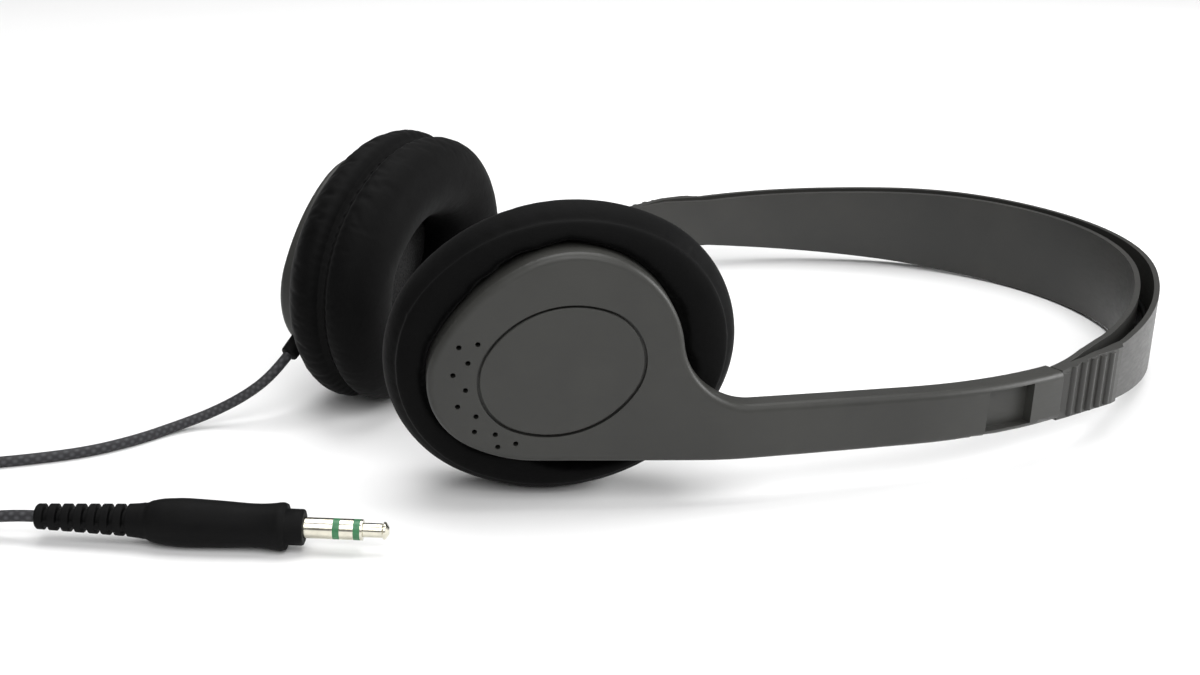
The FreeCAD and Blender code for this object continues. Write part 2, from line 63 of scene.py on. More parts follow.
# Cord: its route out of the left cup and its route from the coil to the plug.
CORD_D = 2.0
CUP_ROUTE = [(-98.2, 27.1, 12.2), (-102.3, 25.7, 9.25), (-107.7, 26.5, 5.8), (-114.0, 28.9, 2.6),
             (-121.5, 29.7, 1.0), (-130.0, 27.5, 1.0), (-139.5, 26.9, 1.0), (-149.3, 29.1, 1.0),
             (-158.9, 32.3, 1.0), (-169.5, 36.1, 1.0)]
PLUG_ROUTE = [(-179.5, 4.7, 1.0), (-173.6, 6.3, 1.3), (-167.9, 5.4, 2.9), (-162.8, 1.9, 4.1),
              (-158.5, -1.5, 4.1)]
# Its coil: radii, layers, points of a climb to the next layer, and the last turn's descent.
COIL_CENTRE = (-186.0, 22.5)
COIL_START = math.radians(76.0)
COIL_R = (6.0, 17.4)
COIL_LAYERS = 4
TURNS_A_LAYER = 5.5
POINTS_A_TURN = 16
CLIMB_POINTS = 6.0
DESCENT = math.radians(200.0)
WRAP_R = 19.0
WRAP_SHARE = 4

# How the headset lies and how its cups stand, as the CAD has them.
REST_TURN = math.radians(1.2)
CUP_TURN = math.radians(119.65)
FOAM_MIDDLE = -9.1
RIM_DEPTH = -8.1
RIM_LEAST = 15
RIM_MOST = 40

# Foam: its radius, how far its middle stands out, and the roll of its rim.
FOAM_R = 16.35
FOAM_FRONT = 1.0
FOAM_BACK = 0.9
FOAM_CROWN = 0.35
FOAM_FLAT_R = 15.4
FOAM_ROLL_WIDE = 0.95
FOAM_ROLL_DEEP = 0.9
FOAM_UNEVEN = 0.05
FOAM_RINGS = 40
FOAM_COLUMNS = 128
FOAM_SEED = {"left": 5, "right": 7}

# Ring cushions, in the cup's frame. Mid-line: (half length, half width, end radius), turn, centre.
PADS = {"left": ((23.3, 18.4, 16.4), math.radians(13.5), (-0.5, -0.6)),
        "right": ((22.9, 17.8, 15.2), math.radians(13.5), (-0.9, -0.2))}
# Lobes of its section, the ear's and the shell's: (offset outwards, depth, half width, half thickness).
LOBES = {"left": ((-1.1, -14.7, 8.7, 8.2), (0.8, -10.6, 7.3, 7.0)),
         "right": ((-1.1, -14.7, 8.7, 8.2), (1.7, -10.8, 8.0, 7.0))}
CREASE_OUTSIDE = 0.15
CREASE_INSIDE = 0.8
PAD_DEPTH = -13.0
PAD_ROUND = 288
PAD_ACROSS = 72
PAD_SEED = {"left": 11, "right": 23}
# Their cloth: room left for it to swell, the stretch held at the back, and how the seam is held and gathered.
SWELL_ROOM = 0.3
SWELL_CAP = 0.9
BACK_AT = math.radians(-100)
BACK_HALF = math.radians(50)
SEAM_HELD = 0.9
SEAM_HELD_HALF = math.radians(4)
SEAM_GATHERED_HALF = math.radians(24)
CLOTH_NOISE = 0.0008
SIM_SCALE = 20.0
SIM_FRAMES = 20
# Their seam: its groove, the painted shade on the faces along the groove, the puckers on both sides of it, and
# its stitches.
SEAM_DEPTH = 2.0
SEAM_WIDTH = math.radians(9.0)
# Half angle of the band of faces along the seam groove that take the thread's black material: painted shade in
# the groove.
SEAM_PAINTED_SHADE = math.radians(8.5)
PUCKERS = 74
PUCKER_DEPTH = 0.2
PUCKER_OFF = math.radians(10)
PUCKER_WIDTH = math.radians(7)
STITCH_HALF = 0.55
STITCH_R = 0.13
STITCH_SIDES = 8
# Their back: where it sits on the foam, how far that lies below the rim, and how it climbs the shell's wall.
BACK_GAP = 0.05
FOAM_SEAT_R = 16.7
FOAM_SEAT_RUN = 0.8
FOAM_SEAT_DROP = 2.0
WALL_GAP = 0.1
WALL_RUN = 1.8
WALL_RISE = 6.0
SQUASH = 0.5
FLOOR_GAP = 0.00003

# Plug handle: (distance along the axis, radius), its collar (from, to, radius) and its end's hollows.
PLUG_START = (-158.5, -1.5, 4.1)
PLUG_WAY = (0.784, -0.620, 0.0)
HANDLE = [(0.0, 2.12), (15.6, 2.72), (17.6, 2.95), (18.6, 3.05), (18.9, 3.32), (20.5, 3.78), (24.5, 4.06),
          (30.0, 3.88), (36.2, 3.58), (39.0, 3.74), (40.6, 4.02), (41.3, 3.98), (41.55, 3.72)]
COLLAR = (41.5, 44.5, 3.03)
START_HOLLOW = 0.12
END_HOLLOW = 0.25
HANDLE_COLUMNS = 96
HANDLE_STEP = 0.3
# Stretches whose outline keeps its corners, and the lengths over which it is averaged there and elsewhere.
CRISP = [(18.0, 19.5), (39.9, 42.0)]
CRISP_SPREAD = 0.25
SOFT_SPREAD = 1.2
# Its strain relief: ribs with slots between them, and two webs that cross the slots.
RIBS = 7
RIB_PITCH = 2.2
RIB_WIDE = 1.25
RIB_START = 0.1
RIB_STEP = 0.07
SLOT_START = 0.15
SLOT_DEPTH = 0.85
SLOT_EDGE = 0.12
WEB_TILT = math.radians(14.0)
WEB_HALF = 0.13
WEB_EDGE = 0.1


# ---------------------------------------------------------------- shader helpers
def new_material(name, color, roughness, **sockets):
    """A Principled material with those constants on the shader's own sockets."""
    material = bpy.data.materials.new(name)
    material.use_nodes = True
    shader = material.node_tree.nodes["Principled BSDF"]
    shader.inputs["Base Color"].default_value = (*color, 1.0)
    shader.inputs["Roughness"].default_value = roughness
    for key, value in sockets.items():
        shader.inputs[key.replace("_", " ")].default_value = value
    return material, material.node_tree, shader


def node(tree, kind, **values):
    """A new node, with its settings and unlinked inputs set by name."""
    made = tree.nodes.new(kind)
    for key, value in values.items():
        if key in made.inputs:
            made.inputs[key].default_value = value
        else:
            setattr(made, key, value)
    return made


def coords(tree, stretch=(1.0, 1.0, 1.0)):
    """Object coordinates, stretched."""
    where = node(tree, "ShaderNodeTexCoord").outputs["Object"]
    mapping = node(tree, "ShaderNodeMapping", Scale=stretch)
    tree.links.new(where, mapping.inputs["Vector"])
    return mapping.outputs["Vector"]


def noise(tree, where, scale, detail, rough):
    """Fractal noise at a place."""
    made = node(tree, "ShaderNodeTexNoise", Scale=scale, Detail=detail, Roughness=rough)
    tree.links.new(where, made.inputs["Vector"])
    return made.outputs["Fac"]


def cells(tree, where, scale, feature="F1"):
    """Distance in a cell pattern."""
    made = node(tree, "ShaderNodeTexVoronoi", feature=feature, Scale=scale)
    tree.links.new(where, made.inputs["Vector"])
    return made.outputs["Distance"]


def ranged(tree, value, low, high, to_low, to_high):
    """Maps a value from one range to another."""
    made = node(tree, "ShaderNodeMapRange")
    tree.links.new(value, made.inputs["Value"])
    for key, number in (("From Min", low), ("From Max", high), ("To Min", to_low), ("To Max", to_high)):
        made.inputs[key].default_value = number
    return made.outputs["Result"]


def mixed(tree, factor, first, second):
    """Colour between two colours."""
    made = node(tree, "ShaderNodeMix", data_type="RGBA")
    tree.links.new(factor, made.inputs["Factor"])
    colors = [socket for socket in made.inputs if socket.type == "RGBA"]
    colors[0].default_value = (*first, 1.0)
    colors[1].default_value = (*second, 1.0)
    return [socket for socket in made.outputs if socket.type == "RGBA"][0]


def tint(tree, shader, value, span, dark, light):
    """Colours a shader from dark to light while a value runs over a span."""
    share = ranged(tree, value, *span, 0.0, 1.0)
    tree.links.new(mixed(tree, share, dark, light), shader.inputs["Base Color"])


def maths(tree, operation, *values):
    """Result of one operation on linked values and plain numbers."""
    made = node(tree, "ShaderNodeMath", operation=operation)
    for socket, value in zip(made.inputs, values):
        if isinstance(value, float):
            socket.default_value = value
        else:
            tree.links.new(value, socket)
    return made.outputs[0]


def bumped(tree, height, depth, strength, under=None):
    """Normal bumped by a height, over another bump."""
    made = node(tree, "ShaderNodeBump", Strength=strength, Distance=depth)
    tree.links.new(height, made.inputs["Height"])
    if under is not None:
        tree.links.new(under, made.inputs["Normal"])
    return made.outputs["Normal"]


def rounded_edges(tree, radius):
    """Normal that rounds sharp moulded edges a little."""
    return node(tree, "ShaderNodeBevel", samples=6, Radius=radius).outputs["Normal"]


# ---------------------------------------------------------------- materials
def moulded_plastic(name, dark, light, roughness):
    """Satin moulded plastic: slight flow mottling, fine spark texture and softened edges."""
    material, tree, shader = new_material(name, dark, roughness, IOR=1.49)
    shader.inputs["Specular IOR Level"].default_value = 0.34
    where = coords(tree)
    flow = noise(tree, where, 55.0, 4.0, 0.55)
    fine = noise(tree, where, 5200.0, 2.0, 0.6)
    scuffs = noise(tree, coords(tree, (1.0, 1.0, 4.0)), 340.0, 5.0, 0.65)
    tint(tree, shader, flow, (0.35, 0.68), dark, light)
    rough = ranged(tree, scuffs, 0.3, 0.75, roughness - 0.05, roughness + 0.07)
    tree.links.new(rough, shader.inputs["Roughness"])
    normal = bumped(tree, fine, 0.000012, 0.5, rounded_edges(tree, PLASTIC_EDGE))
    normal = bumped(tree, scuffs, 0.00001, 0.25, normal)
    tree.links.new(normal, shader.inputs["Normal"])
    return material


def leatherette():
    """Black leatherette: pebble grain with creases, a soft sheen and a little dust in its colour."""
    dark, light = (0.0012, 0.0012, 0.0013), (0.0028, 0.0028, 0.0028)
    material, tree, shader = new_material("leatherette", dark, 0.66, IOR=1.45)
    shader.inputs["Specular IOR Level"].default_value = 0.075
    shader.inputs["Sheen Weight"].default_value = 0.025
    shader.inputs["Sheen Roughness"].default_value = 0.4
    where = coords(tree)
    pebble = cells(tree, where, 1500.0, "SMOOTH_F1")
    fine = noise(tree, where, 4200.0, 3.0, 0.6)
    broad = noise(tree, where, 130.0, 4.0, 0.6)
    tint(tree, shader, broad, (0.3, 0.7), dark, light)
    tree.links.new(ranged(tree, broad, 0.3, 0.75, 0.6, 0.76), shader.inputs["Roughness"])
    normal = bumped(tree, pebble, 0.00005, 0.35)
    normal = bumped(tree, fine, 0.00002, 0.35, normal)
    tree.links.new(bumped(tree, broad, 0.0005, 0.35, normal), shader.inputs["Normal"])
    return material


def open_foam():
    """Black open-cell foam over the loudspeaker."""
    material, tree, shader = new_material("open_foam", (0.006, 0.006, 0.006), 0.95)
    where = coords(tree)
    pores = cells(tree, where, 2100.0)
    tint(tree, shader, pores, (0.15, 0.6), (0.002, 0.002, 0.002), (0.011, 0.011, 0.011))
    tree.links.new(bumped(tree, pores, 0.00025, 0.8), shader.inputs["Normal"])
    return material


def spiral_ridges(tree, along, turn):
    """Height of the ridges that wind round the cord one way, from its curve's own coordinates."""
    split = node(tree, "ShaderNodeSeparateXYZ")
    tree.links.new(along, split.inputs["Vector"])
    lengthwise = maths(tree, "MULTIPLY", split.outputs["X"], RIDGES_ALONG * turn)
    winding = maths(tree, "MULTIPLY_ADD", split.outputs["Y"], RIDGES_ROUND, lengthwise)
    return maths(tree, "PINGPONG", winding, 0.5)


def cord_jacket():
    """Charcoal jacket with a fine diagonal texture that runs round the cord."""
    material, tree, shader = new_material("cord_jacket", (0.02, 0.02, 0.022), 0.6)
    shader.inputs["Specular IOR Level"].default_value = 0.3
    along = node(tree, "ShaderNodeTexCoord").outputs["UV"]
    braid = maths(tree, "MULTIPLY", spiral_ridges(tree, along, 1), spiral_ridges(tree, along, -1))
    tint(tree, shader, braid, (0.02, 0.2), (0.018, 0.018, 0.02), (0.055, 0.055, 0.06))
    fine = noise(tree, coords(tree), 5000.0, 2.0, 0.5)
    normal = bumped(tree, braid, 0.00006, 0.5)
    tree.links.new(bumped(tree, fine, 0.00003, 0.3, normal), shader.inputs["Normal"])
    return material


def moulded_rubber():
    """Matt black moulding of the plug's handle and the strain relief."""
    dark, light = (0.0016, 0.0016, 0.0018), (0.0035, 0.0035, 0.0035)
    material, tree, shader = new_material("moulded_rubber", dark, 0.62, IOR=1.47)
    shader.inputs["Specular IOR Level"].default_value = 0.1
    where = coords(tree)
    patches = noise(tree, where, 260.0, 4.0, 0.6)
    fine = noise(tree, where, 6500.0, 2.0, 0.6)
    tint(tree, shader, patches, (0.3, 0.7), dark, light)
    tree.links.new(ranged(tree, patches, 0.3, 0.7, 0.56, 0.7), shader.inputs["Roughness"])
    normal = bumped(tree, fine, 0.00002, 0.45, rounded_edges(tree, RUBBER_EDGE))
    tree.links.new(bumped(tree, patches, 0.00015, 0.3, normal), shader.inputs["Normal"])
    return material


def bright_metal(name, color, roughness):
    """Plated metal with turning lines and small differences in gloss."""
    material, tree, shader = new_material(name, color, roughness, Metallic=1.0)
    lines = noise(tree, coords(tree, (1.0, 1.0, 0.2)), 3800.0, 3.0, 0.5)
    smudge = noise(tree, coords(tree), 420.0, 4.0, 0.6)
    tint(tree, shader, smudge, (0.3, 0.7), tuple(channel * 0.78 for channel in color), color)
    rough = ranged(tree, smudge, 0.3, 0.7, roughness - 0.05, roughness + 0.08)
    tree.links.new(rough, shader.inputs["Roughness"])
    normal = bumped(tree, lines, 0.000006, 0.35, rounded_edges(tree, PLASTIC_EDGE))
    tree.links.new(normal, shader.inputs["Normal"])
    return material


def green_plastic():
    """Green insulating ring of the plug."""
    material, tree, shader = new_material("green_plastic", (0.03, 0.16, 0.06), 0.4)
    mottle = noise(tree, coords(tree), 1500.0, 3.0, 0.5)
    tint(tree, shader, mottle, (0.3, 0.7), (0.022, 0.13, 0.05), (0.035, 0.19, 0.075))
    tree.links.new(bumped(tree, mottle, 0.00001, 0.4), shader.inputs["Normal"])
    return material


def thread_and_groove_shade():
    """Black sewing thread, twisted; also laid on the faces along the cushions' seam groove as painted shade."""
    material, tree, shader = new_material("thread_and_groove_shade", (0.004, 0.004, 0.004), 0.85)
    shader.inputs["Specular IOR Level"].default_value = 0.1
    twist = noise(tree, coords(tree), 6000.0, 2.0, 0.5)
    color = mixed(tree, twist, (0.002, 0.002, 0.002), (0.007, 0.007, 0.007))
    tree.links.new(color, shader.inputs["Base Color"])
    tree.links.new(bumped(tree, twist, 0.00005, 0.6), shader.inputs["Normal"])
    return material


def pale_floor():
    """Plain pale studio floor."""
    material, tree, shader = new_material("pale_floor", (0.86, 0.86, 0.86), 0.65)
    faint = noise(tree, coords(tree), 9.0, 3.0, 0.5)
    tree.links.new(mixed(tree, faint, (0.85, 0.85, 0.85), (0.88, 0.88, 0.88)), shader.inputs["Base Color"])
    return material


# ---------------------------------------------------------------- mesh helpers
def add_mesh(name, verts, faces, material):
    """A smooth-shaded mesh object of those vertices and faces, linked to the scene."""
    mesh = bpy.data.meshes.new(name)
    mesh.from_pydata([tuple(v) for v in verts], [], faces)
    mesh.validate()
    mesh.polygons.foreach_set("use_smooth", [True] * len(mesh.polygons))
    mesh.materials.append(material)
    made = bpy.data.objects.new(name, mesh)
    bpy.context.scene.collection.objects.link(made)
    return made


def wrapped(rows, columns, around_rows=True):
    """Quads of a grid that is closed across its columns, and along its rows too if asked."""
    faces = []
    last = rows if around_rows else rows - 1
    for i in range(last):
        for j in range(columns):
            here = i * columns
            after = ((i + 1) % rows) * columns
            beside = (j + 1) % columns
            faces.append((here + j, here + beside, after + beside, after + j))
    return faces


def subdivide(piece):
    """Adds one level of subdivision surface to a piece."""
    modifier = piece.modifiers.new("smooth", "SUBSURF")
    modifier.levels = 1
    modifier.render_levels = 1


def smoothstep(value):
    """Eased value between 0 and 1."""
    value = np.clip(value, 0.0, 1.0)
    return value * value * (3 - 2 * value)


# ---------------------------------------------------------------- camera, floor and light
def place_camera():
    """Camera in front of the right cup, above the floor, looking along the headset towards its crown."""
    aim = Vector(CAMERA_AIM).normalized()
    turn = aim.to_track_quat("-Z", "Y").to_matrix() @ Matrix.Rotation(CAMERA_ROLL, 3, "Z")
    data = bpy.data.cameras.new("camera")
    data.sensor_width = SENSOR
    data.lens = CAMERA_LENS
    data.clip_start = 0.01
    camera = bpy.data.objects.new("camera", data)
    camera.matrix_world = Matrix.Translation(CAMERA_AT) @ turn.to_4x4()
    bpy.context.scene.collection.objects.link(camera)
    bpy.context.scene.camera = camera


def softbox(name, where, size, power):
    """A soft square light aimed at the place to light."""
    data = bpy.data.lights.new(name, "AREA")
    data.size = size
    data.energy = power
    lamp = bpy.data.objects.new(name, data)
    turn = (Vector(LIT_PLACE) - Vector(where)).to_track_quat("-Z", "Y")
    lamp.matrix_world = Matrix.Translation(where) @ turn.to_matrix().to_4x4()
    bpy.context.scene.collection.objects.link(lamp)


def set_stage():
    """Floor, soft surrounding light and three softboxes."""
    corners = [(x * FLOOR_HALF, y * FLOOR_HALF, 0) for x, y in ((-1, -1), (1, -1), (1, 1), (-1, 1))]
    floor = add_mesh("floor", corners, [(0, 1, 2, 3)], pale_floor())
    world = bpy.data.worlds.new("studio")
    world.use_nodes = True
    background = world.node_tree.nodes["Background"]
    background.inputs["Color"].default_value = (1.0, 1.0, 1.0, 1.0)
    background.inputs["Strength"].default_value = SURROUND
    bpy.context.scene.world = world
    for name, where, size, power in SOFTBOXES:
        softbox(name, where, size, power)
    bpy.context.scene.view_settings.view_transform = "Standard"


# ---------------------------------------------------------------- cord
def cord_points():
    """Control points of the cord: out of the cup, round the coil layer by layer, down and on to the plug."""
    inner, outer = COIL_R
    points = list(CUP_ROUTE)
    steps = int(TURNS_A_LAYER * POINTS_A_TURN)
    angle = COIL_START
    step = 2 * math.pi / POINTS_A_TURN
    for layer in range(COIL_LAYERS):
        inward = layer % 2 == 0
        for i in range(steps):
            share = i / steps
            radius = outer + (inner - outer) * share if inward else inner + (outer - inner) * share
            lift = 0.0 if layer == 0 else min(1.0, i / CLIMB_POINTS) - 1.0
            points.append(coil_point(angle, radius, CORD_D * (layer + 0.5 + lift)))
            angle += step
    top = CORD_D * (COIL_LAYERS - 0.5)
    for i in range(int(DESCENT / step)):
        share = i * step / DESCENT
        radius = outer + (WRAP_R - outer) * min(1.0, WRAP_SHARE * share)
        points.append(coil_point(angle, radius, top + (CORD_D / 2 - top) * share))
        angle += step
    return points + PLUG_ROUTE


def coil_point(angle, radius, height):
    """Point of the coil at an angle, radius and height."""
    return (COIL_CENTRE[0] + radius * math.cos(angle), COIL_CENTRE[1] + radius * math.sin(angle), height)


def make_cord(material):
    """The whole cord as one smooth curve, which leaves the left cup and carries the plug."""
    points = cord_points()
    data = bpy.data.curves.new("cord", "CURVE")
    data.dimensions = "3D"
    data.resolution_u = 8
    data.bevel_depth = CORD_D / 2 * MM
    data.bevel_resolution = 5
    data.use_fill_caps = True
    line = data.splines.new("NURBS")
    line.points.add(len(points) - 1)
    for spot, (x, y, z) in zip(line.points, points):
        spot.co = (x * MM, y * MM, z * MM, 1.0)
    line.order_u = 3
    line.use_endpoint_u = True
    data.materials.append(material)
    cord = bpy.data.objects.new("cord", data)
    bpy.context.scene.collection.objects.link(cord)
    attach(cord, "left_arm")
    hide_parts("cup_lead", "lead_coil", "plug_lead")
    bpy.context.view_layer.update()
    length = curve_length(cord)
    print("cord length", round(length, 4))


def curve_length(curve):
    """Length of a curve's own line."""
    data = curve.data.copy()
    data.bevel_depth = 0.0
    bare = bpy.data.objects.new("bare", data)
    mesh = bpy.data.meshes.new_from_object(bare)
    places = [v.co.copy() for v in mesh.vertices]
    bpy.data.objects.remove(bare)
    bpy.data.meshes.remove(mesh)
    return sum((b - a).length for a, b in zip(places, places[1:]))


# ---------------------------------------------------------------- plug handle
def along_plug(distance, radius, angle):
    """Point on the plug's surface, in metres."""
    way = Vector(PLUG_WAY).normalized()
    side = Vector((0, 0, 1)).cross(way)
    offset = side * math.cos(angle) + Vector((0, 0, 1)) * math.sin(angle)
    return (Vector(PLUG_START) + way * distance + offset * radius) * MM


def handle_radius(distance):
    """Radius of the handle's smooth outer shape."""
    places, radii = zip(*HANDLE)
    return float(np.interp(distance, places, radii))


def slot_depth(distance, angle):
    """How deep the strain relief's slots cut at a distance and angle, with a web left at each side."""
    if distance < SLOT_START or distance > RIBS * RIB_PITCH:
        return 0.0
    in_rib = (distance - RIB_START) % RIB_PITCH
    inside = min((in_rib - RIB_WIDE) / SLOT_EDGE, (RIB_PITCH - in_rib) / SLOT_EDGE)
    web = (abs(math.sin(angle - WEB_TILT)) - WEB_HALF) / WEB_EDGE
    return SLOT_DEPTH * min(1.0, max(0.0, inside)) * min(1.0, max(0.0, web))


def handle_places():
    """Distances of the handle's rings: close together over the ribs, wider apart over the grip."""
    places = [0.0]
    while places[-1] < RIBS * RIB_PITCH + 0.6:
        places.append(places[-1] + RIB_STEP)
    while places[-1] < HANDLE[-1][0] - HANDLE_STEP:
        places.append(places[-1] + HANDLE_STEP)
    return places + [HANDLE[-1][0]]


def smooth_radius(distance):
    """Handle's radius, averaged over a short length so that its outline has no corners."""
    crisp = any(low < distance < high for low, high in CRISP)
    spread = CRISP_SPREAD if crisp else SOFT_SPREAD
    samples = [handle_radius(distance + spread * k / 4) for k in range(-4, 5)]
    return sum(samples) / len(samples)


def relief_radius(distance, angle):
    """Handle's radius with its softened first edge and its slots."""
    first = 1 - 0.12 * max(0.0, 1 - distance / 0.4) ** 2
    return smooth_radius(distance) * first - slot_depth(distance, angle)


def handle_rings():
    """Rings from the cord's end to the collar: (distance, radius), with no radius where the handle is shaped."""
    low, high, radius = COLLAR
    rings = [(START_HOLLOW, 1.15), (0.0, 1.3), (0.0, handle_radius(0) - 0.3)]
    rings += [(place, None) for place in handle_places()]
    rings += [(low + 0.1, radius), (high - 0.35, radius), (high - 0.1, radius - 0.12), (high, radius - 0.4)]
    return rings + [(high, 1.8), (high - END_HOLLOW, 1.76)]


def make_handle(material):
    """Moulded handle: slotted strain relief, swelling grip, flared rim and collar, closed at both ends."""
    columns = HANDLE_COLUMNS
    rings = handle_rings()
    verts = []
    for place, fixed in rings:
        for j in range(columns):
            angle = 2 * math.pi * j / columns
            radius = relief_radius(place, angle) if fixed is None else fixed
            verts.append(along_plug(place, radius, angle))
    faces = wrapped(len(rings), columns, around_rows=False)
    start, end = len(verts), len(verts) + 1
    last = (len(rings) - 1) * columns
    verts += [along_plug(START_HOLLOW, 0.0, 0.0), along_plug(COLLAR[1] - END_HOLLOW, 0.0, 0.0)]
    for j in range(columns):
        beside = (j + 1) % columns
        faces.append((start, beside, j))
        faces.append((end, last + j, last + beside))
    handle = add_mesh("plug_moulding", verts, faces, material)
    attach(handle, "left_arm")
    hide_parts("plug_handle")
    return handle


# ---------------------------------------------------------------- cups: frame, cushion and foam
def cup_frame(side):
    """Matrix to the row frame from a cup's own (u to the crown, v up, n outwards, origin at its face)."""
    sign = 1 if side == "left" else -1
    out = Vector((math.cos(CUP_TURN), sign * math.sin(CUP_TURN), 0))
    along = Vector((math.sin(CUP_TURN), -sign * math.cos(CUP_TURN), 0))
    rest = Matrix.Rotation(REST_TURN, 3, "Y")
    out, along, up = rest @ out, rest @ along, rest @ Vector((0, 0, 1))
    low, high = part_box(side + "_foam_disc")
    origin = (low + high) / 2 - out * FOAM_MIDDLE * MM
    turn = Matrix((along, up, out)).transposed()
    return Matrix.Translation(origin) @ turn.to_4x4()


def oval_at(side, angle):
    """Point of a cushion's mid-line whose outward normal stands at angle, and that normal."""
    (long_half, short_half, end_r), turned, centre = PADS[side]
    reach = long_half - end_r
    side_r = (reach ** 2 + short_half ** 2 - end_r ** 2) / (2 * (short_half - end_r))
    limit = math.atan2(side_r - short_half, reach)
    c, s = math.cos(angle), math.sin(angle)
    folded = abs(math.atan2(s, c))
    if folded <= limit:
        point = Vector((reach + end_r * c, end_r * s))
    elif folded >= math.pi - limit:
        point = Vector((-reach + end_r * c, end_r * s))
    else:
        middle = -math.copysign(side_r - short_half, s)
        point = Vector((side_r * c, middle + side_r * s))
    turn = Matrix.Rotation(turned, 2)
    return turn @ point + Vector(centre), turn @ Vector((c, s))


def rim_radii(side):
    """Radius of the shell's rim round the cup's origin, by angle in one-degree steps."""
    back = cup_frame(side).inverted()
    rim = np.zeros(360)
    for vertex in frame["nodes"][side + "_shell"].data.vertices:
        place = back @ vertex.co / MM
        if abs(place.z - RIM_DEPTH) < 0.05 and place.length < RIM_MOST:
            degree = int(round(math.degrees(math.atan2(place.y, place.x)))) % 360
            rim[degree] = max(rim[degree], math.hypot(place.x, place.y))
    known = np.nonzero(rim > RIM_LEAST)[0]
    filled = np.interp(np.arange(360), known, rim[known], period=360)
    return np.array([filled[np.arange(k - 4, k + 5) % 360].mean() for k in range(360)])


def lobe_reach(lobe, c, s):
    """How far a ray from the section's centre goes inside a lobe; it runs outwards by c and earwards by s."""
    offset, depth, half_wide, half_thick = lobe
    x0, y0 = -offset / half_wide, (depth - PAD_DEPTH) / half_thick
    dx, dy = c / half_wide, s / half_thick
    a = dx * dx + dy * dy
    b = x0 * dx + y0 * dy
    k = x0 * x0 + y0 * y0 - 1
    return (-b + math.sqrt(b * b - a * k)) / a


def section_reach(side, around, swell):
    """Section's radius at an angle from outwards (0) through the ear's side: the outline of two lobes."""
    c, s = math.cos(around), math.sin(around)
    ear, shell = [lobe_reach(lobe, c, s) for lobe in LOBES[side]]
    soft = CREASE_OUTSIDE if c > 0 else CREASE_INSIDE
    longest = max(ear, shell)
    joined = math.log(math.exp((ear - longest) / soft) + math.exp((shell - longest) / soft))
    return longest + soft * joined - swell


def seam_angle(side):
    """Angle at which the two lobes of a cushion's section meet on the outside."""
    ear, shell = LOBES[side]

    def apart(angle):
        """How far apart the lobes' outlines are at an angle."""
        c, s = math.cos(angle), math.sin(angle)
        return abs(lobe_reach(ear, c, s) - lobe_reach(shell, c, s))

    return min((math.radians(quarter / 4) for quarter in range(-160, 160)), key=apart)


def pad_grid(side, swell):
    """Ring cushion as a grid of points in the cup's frame, in millimetres."""
    section = []
    for j in range(PAD_ACROSS):
        around = 2 * math.pi * j / PAD_ACROSS
        reach = section_reach(side, around, swell)
        section.append((reach * math.cos(around), PAD_DEPTH - reach * math.sin(around)))
    verts = []
    for i in range(PAD_ROUND):
        middle, normal = oval_at(side, 2 * math.pi * i / PAD_ROUND)
        verts += [(middle.x + normal.x * out, middle.y + normal.y * out, depth) for out, depth in section]
    return np.array(verts)


def angle_from(angle, centre):
    """Signed angle from a centre, between minus and plus a half turn."""
    return (angle - centre + math.pi) % (2 * math.pi) - math.pi


def pin_cloth(side, piece):
    """Weights of the cushion's cloth: its back and seam are held, and the cloth near the seam is gathered."""
    held = piece.vertex_groups.new(name="held")
    gathered = piece.vertex_groups.new(name="gathered")
    for k in range(PAD_ROUND * PAD_ACROSS):
        around = 2 * math.pi * (k % PAD_ACROSS) / PAD_ACROSS
        off_seam = abs(angle_from(around, SEAM[side]))
        if abs(angle_from(around, BACK_AT)) < BACK_HALF:
            held.add([k], 1.0, "REPLACE")
        elif off_seam < SEAM_HELD_HALF:
            held.add([k], SEAM_HELD, "REPLACE")
        gathered.add([k], max(0.0, 1 - off_seam / SEAM_GATHERED_HALF), "REPLACE")


def add_cloth(piece):
    """Cloth under pressure, held and gathered by the piece's weights."""
    cloth = piece.modifiers.new("cloth", "CLOTH")
    cloth.settings.quality = 6
    cloth.settings.mass = 0.25
    cloth.settings.tension_stiffness = 25
    cloth.settings.compression_stiffness = 25
    cloth.settings.shear_stiffness = 10
    cloth.settings.bending_stiffness = 0.6
    cloth.settings.use_pressure = True
    cloth.settings.uniform_pressure_force = 4.0
    cloth.settings.vertex_group_mass = "held"
    cloth.settings.vertex_group_shrink = "gathered"
    cloth.settings.shrink_min = -0.03
    cloth.settings.shrink_max = 0.06
    cloth.settings.effector_weights.gravity = 0.0
    cloth.collision_settings.use_collision = False
    cloth.point_cache.frame_start = 1
    cloth.point_cache.frame_end = SIM_FRAMES


def simulate(side, grid, faces):
    """Inflates the cushion as cloth, enlarged so that the solver is steady, and returns the moved grid."""
    rng = np.random.default_rng(PAD_SEED[side])
    start = grid / SIM_SCALE + rng.normal(0, CLOTH_NOISE, grid.shape)
    piece = add_mesh(side + "_cloth", start, faces, new_material("scratch", (0, 0, 0), 0.5)[0])
    pin_cloth(side, piece)
    add_cloth(piece)
    for step in range(1, SIM_FRAMES + 1):
        bpy.context.scene.frame_set(step)
    shaped = piece.evaluated_get(bpy.context.evaluated_depsgraph_get()).to_mesh()
    moved = np.array([tuple(v.co) for v in shaped.vertices]) * SIM_SCALE
    bpy.context.scene.frame_set(1)
    bpy.data.objects.remove(piece)
    shift = moved - grid
    size = np.linalg.norm(shift, axis=1, keepdims=True)
    print(side, "cloth moved", round(float(size.mean()), 3), "mm, most", round(float(size.max()), 3))
    return grid + shift * np.minimum(1.0, SWELL_CAP / np.maximum(size, 1e-9))


